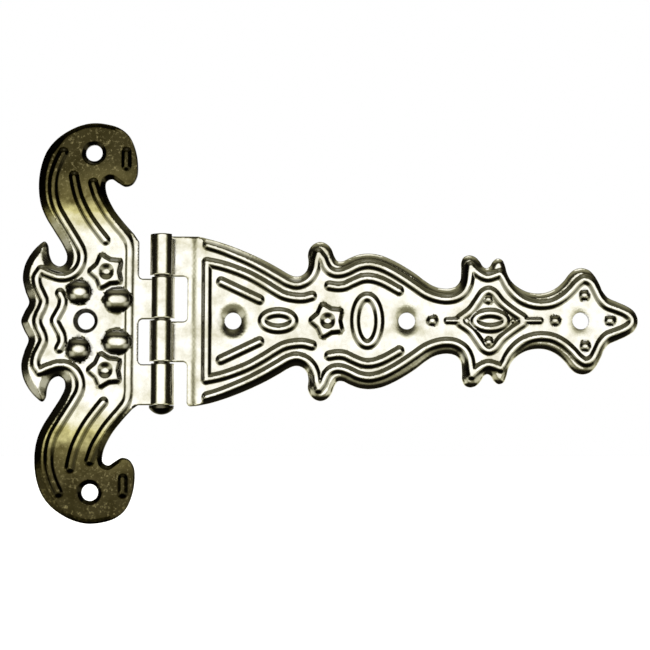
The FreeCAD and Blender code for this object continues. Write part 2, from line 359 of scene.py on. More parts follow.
@dataclass(frozen=True)
class Dome:
    """A raised round boss, or one drawn out along the leaf."""

    centre: Point
    radius: float
    height: float
    stretch: float = 0.0   # length of the straight middle, towards the pin where negative
    fullness: float = 0.62  # 1 is a flat bowl, and less has steeper sides

    def height_at(self, points: np.ndarray) -> np.ndarray:
        """Height of the boss above the field at each point."""
        away = points - np.array(self.centre)
        along = np.clip(away[:, 0], min(self.stretch, 0), max(self.stretch, 0))
        reach = np.hypot(away[:, 0] - along, away[:, 1]) / self.radius
        return self.height * np.clip(1 - reach ** 2, 0, 1) ** self.fullness

    def mesh_points(self) -> list[np.ndarray]:
        """Rings of vertices on the boss, closer together near its foot."""
        rings = [np.array([self.centre])]
        steps = max(4, round(self.radius / MESH.dome))
        for share in np.sin(np.linspace(0, math.pi / 2, steps + 1)[1:]):
            count = max(8, round(2 * math.pi * share * self.radius / MESH.dome))
            ring = unit_circle(count) * share * self.radius
            ring[:, 0] += np.where(ring[:, 0] * self.stretch > 0, self.stretch, 0)
            rings.append(ring + np.array(self.centre))
        return rings


@dataclass(frozen=True)
class StarBoss:
    """A raised five-point star with a round pit in its middle, and one tip towards -X."""

    centre: Point
    side: Side
    tips: int = 5
    tip_r: float = 4.9
    waist_r: float = 3.3
    height: float = 1.1
    slope: float = 1.9        # width of the slope outside the star's line
    pit_r: float = 3.1
    pit_floor_r: float = 0.6
    pit_share: float = 0.85   # depth of the pit, as a share of the height
    crest_half: float = 0.05  # half width of the level line at the star's edge

    def outline(self) -> np.ndarray:
        """The star's line, closed by repeating its first point."""
        corners = []
        for i in range(2 * self.tips + 1):
            radius = self.waist_r if i % 2 else self.tip_r
            turn = math.pi * (1 + i / self.tips)
            corners.append((self.centre[0] + self.side.value * radius * math.cos(turn),
                            self.centre[1] + radius * math.sin(turn)))
        return straight_line(tuple(corners))

    def height_at(self, points: np.ndarray) -> np.ndarray:
        """Height of the star above the field at each point."""
        line = self.outline()
        outside = np.where(inside(line[:-1], points), 0.0, distance_to(line, points))
        away = np.hypot(points[:, 0] - self.centre[0], points[:, 1] - self.centre[1])
        pit = 1 - eased((away - self.pit_floor_r) / (self.pit_r - self.pit_floor_r))
        return self.height * (1 - eased(outside / self.slope)) * (1 - self.pit_share * pit)

    def mesh_points(self) -> list[np.ndarray]:
        """Lines of vertices round the star and rings in its pit."""
        edge = Bead(self.outline(), width=2 * self.slope, crest_half=self.crest_half)
        radii = np.linspace(self.pit_floor_r, self.pit_r, MESH.pit_rings)
        pit = [oval_line(self.centre, radius, radius, MESH.pit) for radius in radii]
        return edge.mesh_points() + pit


@dataclass(frozen=True)
class Hole:
    """A screw hole whose surround is sunk into the sheet."""

    centre: Point
    rim_front: float   # front of the sheet at the hole's edge
    sink_r: float      # radius at which the sinking starts
    soft: bool         # a soft dish, or else a straight cone
    dishing: float = 2.1   # how much steeper a soft dish is at the hole than a cone

    def away(self, points: np.ndarray) -> np.ndarray:
        """Distance of each point from the hole's centre."""
        return np.hypot(points[:, 0] - self.centre[0], points[:, 1] - self.centre[1])

    def sunk(self, points: np.ndarray, front: np.ndarray) -> np.ndarray:
        """Sinks the hole's surround.

        Args:
            points: Plan points.
            front: Heights of the front there.

        Returns:
            The front's new heights.
        """
        share = np.clip((self.away(points) - SHEET.hole_r) / (self.sink_r - SHEET.hole_r), 0, 1)
        share = 1 - (1 - share) ** self.dishing if self.soft else share
        return self.rim_front + (front - self.rim_front) * share

    def mesh_points(self) -> list[np.ndarray]:
        """Rings of vertices on the sunk surround."""
        *lips, start = (SHEET.hole_r + lip for lip in MESH.hole_lips)
        steps = MESH.dish_rings if self.soft else MESH.cone_rings
        rings = []
        for radius in [*lips, *np.linspace(start, self.sink_r + MESH.foot, steps)]:
            circle = unit_circle(round(2 * math.pi * radius / MESH.line))
            rings.append(np.array(self.centre) + radius * circle)
        return rings


Shape = Bead | Dome | StarBoss


# ---- pressed sheet


@dataclass(frozen=True)
class PressedLeaf:
    """A leaf of pressed sheet: outline, relief, holes and rolled knuckles.

    Plan points are (distance from the pin axis, height), in millimetres.
    """

    name: str
    side: Side
    outline: np.ndarray
    rim: np.ndarray             # the part of the outline whose edge is turned down
    relief: list[Shape]
    holes: list[Hole]
    knuckles: tuple[int, ...]
    rim_width: float            # width of the turned-down rim on the outer edges
    inner_rim_width: float      # and on the edges that face the pin
    rim_start: float            # no turned-down rim nearer the pin than this
    field_start: float          # distance from the pin where the field has its full height
    rim_round: float = 0.0      # 0 is a straight turned-down rim, and 1 a quarter round
    bow: float = 0.0            # how fast the far ends bend back to the wall, per millimetre
    bow_from: float = 34.0
    inner_lean: float = 0.45    # inner edges lie nearer the pin than this share of the height
    inner_from: float = 4.0     # and this distance
    inner_over: float = 6.0     # and the width changes over this distance
    painted_shade_slopes: Point = (0.15, 0.75)   # slopes where the painted flank shade starts and is full
    rim_without_painted_shade: Point = (0.3, 1.9)         # a rounded rim has no painted flank shade nearer the edge than this

    def rim_width_at(self, plan: np.ndarray) -> np.ndarray:
        """Width of the turned-down rim that belongs to each point."""
        past = plan[:, 0] - self.inner_lean * np.abs(plan[:, 1]) - self.inner_from
        outer = eased(past / self.inner_over)
        return self.inner_rim_width + (self.rim_width - self.inner_rim_width) * outer

    def heights(self, plan: np.ndarray) -> tuple[np.ndarray, np.ndarray]:
        """Heights of the front and the back above the wall.

        Args:
            plan: Plan points.

        Returns:
            The front's heights and the back's heights.
        """
        rise = eased((plan[:, 0] - SHEET.tab_end) / (self.field_start - SHEET.tab_end))
        level = SHEET.tab + (SHEET.field - SHEET.tab) * rise
        level = level - self.bow * np.maximum(np.abs(plan[:, 1]) - self.bow_from, 0) ** 2
        metal = SHEET.tab + (SHEET.metal - SHEET.tab) * rise
        turned = eased((plan[:, 0] - self.rim_start) / SHEET.rim_over)
        share = np.clip(distance_to(self.rim, plan) / self.rim_width_at(plan), 0, 1)
        edge = metal + (level - metal) * (1 - turned)
        bulge = np.sqrt(1 - (1 - share) ** 2) - share
        level = edge + (level - edge) * (share + self.rim_round * bulge)
        powers = sum(shape.height_at(plan) ** SHEET.merging for shape in self.relief)
        raised = powers ** (1 / SHEET.merging)
        front = level + raised
        back = np.maximum(level - metal, 0) + raised * SHEET.hollow * rise
        for hole in self.holes:
            front = hole.sunk(plan, front)
            outside = hole.away(plan) - SHEET.hole_r - SHEET.hollow_from
            back = back * eased(outside / SHEET.hollow_over)
        back = np.minimum(back, front - SHEET.least)
        near = np.clip(1 - distance_to(self.closed_outline(), plan) / SHEET.edge_round, 0, 1)
        front = front - SHEET.edge_round * (1 - np.sqrt(1 - near ** 2))
        return front, back

    def closed_outline(self) -> np.ndarray:
        """The outline with its first point repeated."""
        return np.vstack([self.outline, self.outline[:1]])

    def edge_lines(self) -> list[np.ndarray]:
        """Lines of vertices that follow the outline inside it."""
        closed = self.closed_outline()
        ways = np.roll(closed[:-1], -1, axis=0) - np.roll(closed[:-1], 1, axis=0)
        ways /= np.linalg.norm(ways, axis=1)[:, None]
        across = np.column_stack([-ways[:, 1], ways[:, 0]])
        lines = []
        widths = (self.rim_width, self.inner_rim_width)
        rims = [width * share for width in widths for share in MESH.rim_shares]
        for inset in [*MESH.edge_insets, *rims]:
            shifted = np.vstack([self.outline + across * inset, self.outline - across * inset])
            shifted = shifted[inside(self.outline, shifted)]
            lines.append(shifted[distance_to(closed, shifted) > inset * MESH.inset_share])
        return lines

    def plan_points(self) -> tuple[list[Point], list[tuple[int, int]]]:
        """Vertices and fixed edges of the plan mesh.

        Returns:
            The plan points, and the pairs of their numbers that stay joined.
        """
        points: list[Point] = []
        edges: list[tuple[int, int]] = []
        circle = unit_circle(MESH.hole_sides) * SHEET.hole_r
        loops = [self.outline] + [np.array(hole.centre) + circle for hole in self.holes]
        for loop in loops:
            first, count = len(points), len(loop)
            points.extend(map(tuple, loop.tolist()))
            edges.extend((first + i, first + (i + 1) % count) for i in range(count))

        lines = self.edge_lines()
        for shape in self.relief + self.holes:
            lines += shape.mesh_points()
        low, high = self.outline.min(0), self.outline.max(0)
        rows = np.arange(low[1], high[1], MESH.grid * MESH.row_share)
        grid = np.array([(u + (row % 2) * MESH.grid / 2, z) for row, z in enumerate(rows)
                         for u in np.arange(low[0], high[0], MESH.grid)])
        cross = ((0, 0), (-1, 0), (1, 0), (0, -1), (0, 1))
        for loose, spacing in ((np.vstack(lines), MESH.close), (grid, MESH.apart)):
            loose = loose[inside(self.outline, loose)]
            loose = loose[distance_to(self.closed_outline(), loose) > MESH.edge_gap]
            for hole in self.holes:
                loose = loose[hole.away(loose) > SHEET.hole_r + MESH.hole_gap]
            # The plan is ruled in squares, and a vertex takes its own and the four beside it.
            placed = points[len(self.outline):]
            taken = {(round(u / spacing), round(z / spacing)) for u, z in placed}
            for u, z in loose.tolist():
                column, row = round(u / spacing), round(z / spacing)
                if (column, row) not in taken:
                    taken.update((column + i, row + j) for i, j in cross)
                    points.append((u, z))
        return points, edges

    def plan_mesh(self) -> tuple[np.ndarray, np.ndarray]:
        """Triangulates the plan.

        Returns:
            The plan points, and the triangles of the metal, each anticlockwise.
        """
        points, edges = self.plan_points()
        plan, _, triangles, *_ = delaunay_2d_cdt(points, edges, [], 0, 1e-5)
        plan = np.array([tuple(p) for p in plan])
        triangles = np.array(triangles)
        middles = plan[triangles].mean(axis=1)
        keep = inside(self.outline, middles)
        for hole in self.holes:
            keep &= hole.away(middles) > SHEET.hole_r * 0.99
        triangles = triangles[keep]
        a, b, c = (plan[triangles[:, i]] for i in range(3))
        turned = np.cross(b - a, c - a) < 0
        triangles[turned] = triangles[turned][:, ::-1]
        used = np.unique(triangles)
        number = np.full(len(plan), -1)
        number[used] = np.arange(len(used))
        return plan[used], number[triangles]

    def pressed_sheet(self) -> bpy.types.Object:
        """The sheet: front, back and the edges between them.

        Its mesh comes from the height rule and not from operators, because no primitive or
        modifier gives pressed relief that runs together and has its hollows behind it.

        Returns:
            The sheet's object, with its place in its mesh.
        """
        plan, triangles = self.plan_mesh()
        front, back = self.heights(plan)
        x = BARREL.axis_x + self.side.value * plan[:, 0]
        count = len(plan)
        top = np.column_stack([x, -front, plan[:, 1]])
        low = np.column_stack([x, -back, plan[:, 1]])
        # Plan triangles turn anticlockwise in (u, z), which faces -Y when u runs with +X.
        faces_front = triangles if self.side is Side.STRAP else triangles[:, ::-1]
        faces_back = faces_front[:, ::-1] + count
        sides = {(face[i], face[(i + 1) % 3]) for face in faces_front.tolist() for i in range(3)}
        wall = [(i, i + count, j + count, j) for i, j in sorted(sides) if (j, i) not in sides]
        mesh = bpy.data.meshes.new(self.name)
        mesh.from_pydata((np.vstack([top, low]) * MM).tolist(), [],
                         faces_front.tolist() + faces_back.tolist() + wall)
        mesh.update()
        # Painted shade for the steep flanks of the relief, kept in an attribute for the finish.
        self.paint_flank_shade(mesh, np.tile(distance_to(self.closed_outline(), plan), 2))
        piece = bpy.data.objects.new(self.name, mesh)
        bpy.context.scene.collection.objects.link(piece)
        return piece

    def paint_flank_shade(self, mesh: bpy.types.Mesh, inset: np.ndarray) -> None:
        """Stores painted shade at each vertex, stronger where the pressed metal is steeper, for
        the finish to darken.

        Args:
            mesh: The sheet's mesh.
            inset: Distance of each vertex from the outline.
        """
        count = len(mesh.vertices)
        normals = np.empty(count * 3, np.float32)
        mesh.vertices.foreach_get("normal", normals)
        facing = np.clip(np.abs(normals.reshape(-1, 3)[:, 1]), 0.1, 1)
        steep = np.sqrt(1 - facing ** 2) / facing
        bare, full = self.rim_without_painted_shade
        kept = eased((inset - bare) / (full - bare)) if self.rim_round else 1.0
        least, most = self.painted_shade_slopes
        painted_flank_shade = np.clip((steep - least) / (most - least), 0, 1) * kept
        attribute = mesh.attributes.new("painted_flank_shade", "FLOAT", "POINT")
        attribute.data.foreach_set("value", painted_flank_shade.astype(np.float32))

    def rolled_knuckle(self, number: int) -> bpy.types.Object:
        """One knuckle: a strip of the sheet wound round the pin and back to the leaf.

        Args:
            number: The knuckle's place, from 1 at the top.

        Returns:
            The knuckle's object, with its place in its mesh.
        """
        thickness = BARREL.outer_r - BARREL.bore_r
        middle = (BARREL.bottom_of(number) + BARREL.top_of(number)) / 2
        bpy.ops.object.select_all(action="DESELECT")
        bpy.ops.mesh.primitive_plane_add(size=1, location=(0, 0, 0), rotation=(0, math.pi / 2, 0))
        knuckle = bpy.context.object
        knuckle.scale = (BARREL.knuckle * MM, thickness * MM, 1)
        knuckle.location = (BARREL.axis_x * MM, -thickness / 2 * MM, middle * MM)
        bpy.ops.object.transform_apply(location=True, rotation=True, scale=True)
        closing = math.asin((BARREL.outer_r - SHEET.tab - BARREL.slit) / BARREL.outer_r)
        bpy.ops.object.mode_set(mode="EDIT")
        bpy.ops.mesh.select_all(action="SELECT")
        bpy.ops.mesh.spin(steps=BARREL.turn_steps,
                          angle=self.side.value * (1.5 * math.pi - closing),
                          center=(BARREL.axis_x * MM, -BARREL.outer_r * MM, middle * MM),
                          axis=(0, 0, -1))
        bpy.ops.mesh.select_all(action="SELECT")
        bpy.ops.mesh.normals_make_consistent(inside=False)
        bpy.ops.object.mode_set(mode="OBJECT")
        bevel = knuckle.modifiers.new("edges", "BEVEL")
        bevel.width = BARREL.edge_break * MM
        bevel.segments = 2
        bevel.limit_method = "ANGLE"
        bevel.angle_limit = math.radians(BARREL.edge_turn_deg)
        bpy.ops.object.modifier_apply(modifier=bevel.name)
        bpy.ops.object.mode_set(mode="EDIT")
        bpy.ops.mesh.select_all(action="SELECT")
        bpy.ops.mesh.remove_doubles(threshold=BARREL.weld * MM)
        for height in (BARREL.bottom_of(number) + BARREL.loop_inset,
                       BARREL.top_of(number) - BARREL.loop_inset):
            bpy.ops.mesh.select_all(action="SELECT")
            bpy.ops.mesh.bisect(plane_co=(0, 0, height * MM), plane_no=(0, 0, 1))
        bpy.ops.object.mode_set(mode="OBJECT")
        return knuckle

    def build(self, finish: bpy.types.Material) -> bpy.types.Object:
        """Makes the whole leaf as one object, and gives it its finish.

        Args:
            finish: The material of the whole leaf.

        Returns:
            The leaf's object.
        """
        piece = self.pressed_sheet()
        knuckles = [self.rolled_knuckle(number) for number in self.knuckles]
        bpy.ops.object.select_all(action="DESELECT")
        for part in [piece] + knuckles:
            part.select_set(True)
        bpy.context.view_layer.objects.active = piece
        bpy.ops.object.join()
        bpy.ops.object.shade_smooth_by_angle(angle=math.radians(MESH.smooth_deg))
        piece.data.materials.clear()
        piece.data.materials.append(finish)
        LOG.info("%s has %d faces", self.name, len(piece.data.polygons))
        return piece


# ---- the two leaves


@dataclass(frozen=True)
class FrameLeaf:
    """The winged leaf that is screwed to the frame."""

    notch_u: float = 8.5      # reach of the notches for the other leaf's knuckles
    notch_r: float = 1.4
    wing_drop: float = 2.7    # drop of the inner edge from the wing to the notch
    end_hole: Point = (24.3, 57.95)
    middle_hole: Point = (26.3, 0.0)
    hole_front: float = 0.8
    hole_sink_r: float = 4.2
    inner_low_within: float = 30.0   # the inner bead is lower nearer the middle than this
    edge: Line = (
        (48.5, 0.0), (47.4, 3.2), (45.9, 6.3), (47.2, 10.2), (48.2, 14.6), (47.6, 19.0),
        (45.6, 23.0), (43.0, 26.0), (40.9, 27.4), (39.8, 26.2), (39.2, 22.6), (37.9, 19.9),
        (35.5, 18.8), (33.7, 19.9), (33.2, 22.3), (34.3, 25.3), (37.9, 31.2), (40.6, 35.6),
        (42.4, 40.0), (43.2, 45.0), (43.1, 50.0), (42.1, 55.0), (40.3, 59.2), (36.9, 63.2),
        (31.0, 66.9), (25.5, 68.4), (20.3, 68.1), (15.6, 66.6), (12.3, 63.8), (10.3, 59.6),
        (9.3, 54.5), (9.5, 49.8), (11.2, 47.0), (13.6, 46.3), (15.9, 47.5), (18.3, 48.9),
        (20.1, 47.9), (20.1, 44.6), (17.6, 38.9), (13.7, 33.7), (10.3, 29.9))
    rim_bead: Line = (
        (34.7, 57.8), (36.4, 54.2), (37.7, 49.9), (38.0, 46.0), (37.6, 42.2), (36.5, 38.6),
        (34.5, 35.0), (31.9, 30.8), (29.5, 26.9), (28.0, 24.0), (27.6, 21.6), (28.2, 18.9),
        (29.9, 16.5), (32.4, 15.1), (35.3, 14.9), (38.6, 15.9), (41.6, 17.2))
    scallop_bead: Line = (
        (41.6, 17.2), (43.0, 14.8), (42.6, 11.8), (41.4, 9.2), (40.4, 6.7), (41.0, 4.3),
        (42.1, 2.0), (42.6, 0.0))
    wing_bead: Line = (
        (30.9, 49.6), (30.3, 46.5), (29.2, 42.5), (27.4, 38.5), (25.3, 34.8), (22.8, 31.3),
        (19.8, 27.5))
    inner_bead: Line = (
        (24.3, 47.2), (22.8, 42.8), (21.0, 39.5), (18.9, 36.2), (16.3, 32.9), (13.8, 29.9),
        (12.2, 27.4), (11.6, 24.5), (11.6, 20.0), (11.6, 10.0))
    chevron_bead: Line = (
        (35.0, 9.4), (34.0, 7.2), (34.3, 4.8), (35.6, 2.2), (36.6, 0.0))
    beak_bead: Line = ((13.1, 58.0), (13.1, 53.3))
    star: Point = (19.3, 16.8)
    domes: tuple[tuple[float, ...], ...] = (   # distance, height, radius, rise and stretch
        (28.6, 9.8, 4.3, 2.2, 0.0), (16.2, 7.2, 4.2, 2.0, -1.6))

    def outline(self) -> tuple[np.ndarray, np.ndarray]:
        """Draws the leaf, notched for the other leaf's knuckles.

        Returns:
            The leaf's closed outline, and the wings' part of it.
        """
        wings = smooth_line(mirrored(self.edge) + self.edge)
        u, z = self.edge[-1]
        notch = self.notch_u
        top, bottom = BARREL.top_of(2), BARREL.bottom_of(4)
        upper = rounded_corners(((u, z), (notch, z - self.wing_drop), (notch, top), (0.0, top)),
                                self.notch_r)
        middle = rounded_corners(BARREL.notch(2, 4, notch), self.notch_r)
        lower = rounded_corners(((0.0, bottom), (notch, bottom), (u, -z)), self.notch_r)
        runs = [straight_line(run) for run in (upper[1:], middle, lower[:-1])]
        return np.vstack([wings] + runs), wings

    def relief(self) -> list[Shape]:
        """Every bead, dome and star on the leaf."""
        shapes: list[Shape] = []
        for line, low_within in ((self.scallop_bead, 0.0), (self.chevron_bead, 0.0),
                                 (self.inner_bead, self.inner_low_within)):
            whole = smooth_line(line + mirrored(line))
            shapes.append(Bead(whole, low_within=low_within))
        shapes += bead_pairs(self.rim_bead, self.wing_bead, self.beak_bead)
        for sign in (1, -1):
            shapes.append(StarBoss((self.star[0], sign * self.star[1]), Side.FRAME))
            for u, z, radius, rise, stretch in self.domes:
                shapes.append(Dome((u, sign * z), radius, rise, stretch))
        return shapes

    def build(self, finish: bpy.types.Material) -> bpy.types.Object:
        """Presses and rolls the leaf, and gives it its finish."""
        outline, wings = self.outline()
        end_u, end_z = self.end_hole
        centres = (self.end_hole, self.middle_hole, (end_u, -end_z))
        leaf = PressedLeaf(
            name="winged_frame_leaf", side=Side.FRAME, outline=outline, rim=wings,
            relief=self.relief(),
            holes=[Hole(centre, self.hole_front, self.hole_sink_r, False) for centre in centres],
            knuckles=(2, 4), rim_width=2.7, inner_rim_width=1.5, rim_start=8.6,
            field_start=20.0, bow=0.0009)
        return leaf.build(finish)


@dataclass(frozen=True)
class StrapLeaf:
    """The long leaf that is screwed to the door."""

    notch_u: float = 8.1      # reach of the notches for the other leaf's knuckles
    notch_r: float = 1.4
    first_hole: float = 23.7
    hole_pitch: float = 59.1
    hole_fronts: tuple[float, ...] = (1.1, 1.4, 1.7)   # the first hole is sunk the deepest
    hole_sink_r: float = 8.4
    dot_rise: float = 0.5     # height of a dot, as a share of its radius
    edge: Line = (
        (11.5, 28.9), (15.5, 28.1), (20.0, 26.8), (25.0, 25.0), (30.0, 22.9), (35.0, 20.5),
        (39.5, 18.0), (42.7, 16.1), (45.0, 15.3), (47.2, 15.8), (48.8, 17.5), (49.3, 20.0),
        (49.1, 22.8), (49.8, 25.0), (51.4, 26.6), (53.5, 27.2), (55.6, 26.5), (57.2, 24.8),
        (58.2, 22.3), (59.3, 20.6), (60.9, 20.5), (63.5, 21.7), (66.5, 22.8), (70.0, 23.2),
        (74.0, 22.6), (78.0, 21.0), (82.0, 18.8), (86.0, 16.2), (89.0, 13.9), (91.7, 12.2),
        (94.5, 11.3), (97.4, 11.2), (99.7, 12.0), (101.1, 14.0), (101.4, 17.0), (101.5, 20.2),
        (102.4, 21.9), (104.3, 22.6), (106.3, 22.0), (107.9, 20.4), (109.0, 18.7), (110.1, 18.1),
        (111.2, 18.7), (112.3, 20.4), (113.9, 21.5), (115.6, 20.9), (116.5, 19.0), (117.2, 16.4),
        (118.6, 13.7), (120.9, 11.6), (123.8, 10.1), (127.0, 9.5), (130.4, 9.8), (133.7, 11.3),
        (136.4, 13.7), (138.3, 16.1), (140.1, 17.6), (142.5, 18.2), (145.0, 17.5), (147.0, 15.5),
        (148.6, 12.7), (149.8, 10.0), (151.5, 8.0), (154.5, 6.6), (157.8, 5.1), (160.0, 3.6),
        (161.1, 1.9), (161.5, 0.0))
    rim_bead: Line = (
        (15.0, 25.8), (19.5, 24.4), (24.5, 22.4), (29.5, 20.2), (34.5, 17.6), (39.5, 14.7),
        (42.5, 13.0), (45.5, 12.3), (48.5, 13.3), (50.6, 15.3), (51.8, 18.0), (52.2, 20.6),
        (52.8, 23.0))
    belly_bead: Line = (
        (52.8, 23.0), (54.2, 21.2), (55.0, 19.2), (56.3, 17.3), (58.2, 16.3), (60.6, 16.3),
        (63.2, 17.2), (66.1, 18.6), (69.6, 19.3), (73.5, 18.6), (77.5, 16.8), (81.5, 14.4),
        (85.5, 11.7), (89.0, 9.3), (92.4, 7.9), (96.0, 7.3), (99.4, 7.8), (102.2, 9.6),
        (103.7, 12.2), (104.3, 15.3), (104.6, 18.5))
    cross_bead: Line = (
        (104.6, 18.5), (106.5, 16.7), (108.7, 15.2), (110.5, 14.8), (112.4, 15.3), (114.5, 16.1))
    tip_bead: Line = (
        (114.5, 16.1), (115.8, 14.4), (117.0, 12.0), (119.1, 9.3), (122.0, 7.0), (125.5, 5.7),
        (129.0, 5.4), (132.5, 6.0), (136.0, 7.9), (138.8, 10.4), (141.0, 12.8), (143.2, 14.1),
        (145.4, 13.1), (147.0, 10.6), (148.5, 7.6), (150.5, 5.4), (154.0, 4.0), (157.0, 2.7),
        (158.8, 1.2), (159.3, 0.0))
    frame_bead: Line = (
        (14.8, 19.9), (19.5, 18.9), (24.5, 17.3), (29.5, 15.2), (34.5, 12.4), (38.0, 10.2),
        (41.0, 8.6), (44.5, 7.8), (47.8, 7.7), (50.6, 8.4))
    bar_bead: Line = ((19.7, 13.3), (32.8, 7.1))
    wave_bead: Line = (
        (56.4, 11.9), (59.0, 11.5), (61.5, 11.7), (64.6, 13.1), (68.0, 14.4), (71.0, 14.4),
        (74.5, 13.3), (80.2, 10.2))
    diamond_bead: Line = (
        (100.9, 0.7), (104.5, 3.4), (107.0, 6.8), (108.8, 9.3), (110.5, 10.1), (112.2, 9.4),
        (114.8, 6.3), (118.2, 3.5), (122.2, 0.8))
    stems: tuple[Line, ...] = (
        ((96.4, 0.0), (101.5, 0.0)), ((121.5, 0.0), (128.0, 0.0)))
    stem_width: float = 2.6
    rings: tuple[tuple[float, float, float], ...] = (   # distance, half length and half height
        (39.1, 5.2, 2.8), (69.3, 4.1, 8.1), (111.0, 5.2, 2.6))
    star: Point = (55.9, 0.0)
    dots: tuple[tuple[float, float, float], ...] = (   # distance, height and radius
        (91.4, 0.0, 1.8), (133.1, 0.0, 1.8), (151.7, 0.0, 1.8), (143.2, 8.7, 1.8),
        (143.2, -8.7, 1.8), (110.5, 7.2, 1.5), (110.5, -7.2, 1.5), (103.3, 0.0, 0.9),
        (118.8, 0.0, 0.9))

    def outline(self) -> tuple[np.ndarray, np.ndarray]:
        """Draws the strap, notched for the other leaf's knuckles.

        Returns:
            The strap's closed outline, and the part of it that is turned down.
        """
        sides = smooth_line(self.edge + mirrored(self.edge))
        u, z = self.edge[0]
        notch = self.notch_u
        top, bottom = BARREL.top_of(1), BARREL.bottom_of(3)
        lower = rounded_corners(((u, -z), (notch, -top), (notch, bottom), (0.0, bottom)),
                                self.notch_r)
        middle = rounded_corners(BARREL.notch(1, 3, notch)[::-1], self.notch_r)
        upper = ((0.0, top), (u, z))
        runs = [straight_line(run) for run in (lower[1:], middle, upper)]
        return np.vstack([sides] + runs[:-1] + [runs[-1][:-1]]), sides

    def relief(self) -> list[Shape]:
        """Every bead, ring, star and dot on the strap."""
        u, z = self.frame_bead[0]
        shapes: list[Shape] = [
            Bead(smooth_line(self.tip_bead + mirrored(self.tip_bead))),
            Bead(straight_line(((u, z), (u, -z))))]
        shapes += bead_pairs(self.rim_bead, self.belly_bead, self.cross_bead, self.frame_bead,
                             self.bar_bead, self.wave_bead, self.diamond_bead)
        for stem in self.stems:
            shapes.append(Bead(straight_line(stem), width=self.stem_width))
        for u, half_u, half_z in self.rings:
            shapes.append(Bead(oval_line((u, 0.0), half_u, half_z)))
        shapes.append(StarBoss(self.star, Side.STRAP))
        for u, z, radius in self.dots:
            shapes.append(Dome((u, z), radius, radius * self.dot_rise))
        return shapes

    def build(self, finish: bpy.types.Material) -> bpy.types.Object:
        """Presses and rolls the strap, and gives it its finish."""
        outline, sides = self.outline()
        holes = [Hole((self.first_hole + i * self.hole_pitch, 0.0), front, self.hole_sink_r, True)
                 for i, front in enumerate(self.hole_fronts)]
        leaf = PressedLeaf(
            name="long_strap_leaf", side=Side.STRAP, outline=outline, rim=sides,
            relief=self.relief(), holes=holes, knuckles=(1, 3),
            rim_width=1.9, inner_rim_width=1.9, rim_start=12.5, field_start=12.4,
            rim_round=0.65)
        return leaf.build(finish)


# ---- finishes


def linear(colour: str) -> tuple[float, float, float, float]:
    """A colour given as sRGB hex, as linear light."""
    parts = [int(colour[i:i + 2], 16) / 255 for i in (1, 3, 5)]
    red, green, blue = (p / 12.92 if p <= 0.04045 else ((p + 0.055) / 1.055) ** 2.4 for p in parts)
    return red, green, blue, 1.0


def add_node(tree: bpy.types.NodeTree, kind: str, inputs: dict | None = None,
             stops: tuple[tuple[float, str], ...] = (), **settings: str) -> bpy.types.Node:
    """Adds one node with its settings, values and links.

    Args:
        tree: The node tree.
        kind: The node's type, without "ShaderNode".
        inputs: For each input, a value, an output socket, or a node for its first output.
        stops: Positions and colours along it, where it is a ramp.
        settings: Its own properties.

    Returns:
        The node.
    """
    node = tree.nodes.new("ShaderNode" + kind)
    for name, value in settings.items():
        setattr(node, name, value)
    for key, value in (inputs or {}).items():
        value = value.outputs[0] if isinstance(value, bpy.types.Node) else value
        if isinstance(value, bpy.types.NodeSocket):
            tree.links.new(value, node.inputs[key])
        else:
            node.inputs[key].default_value = value
    if stops:
        elements = node.color_ramp.elements
        while len(elements) < len(stops):
            elements.new(0.5)
        for element, (position, colour) in zip(elements, stops):
            element.position = position
            element.color = linear(colour)
    return node


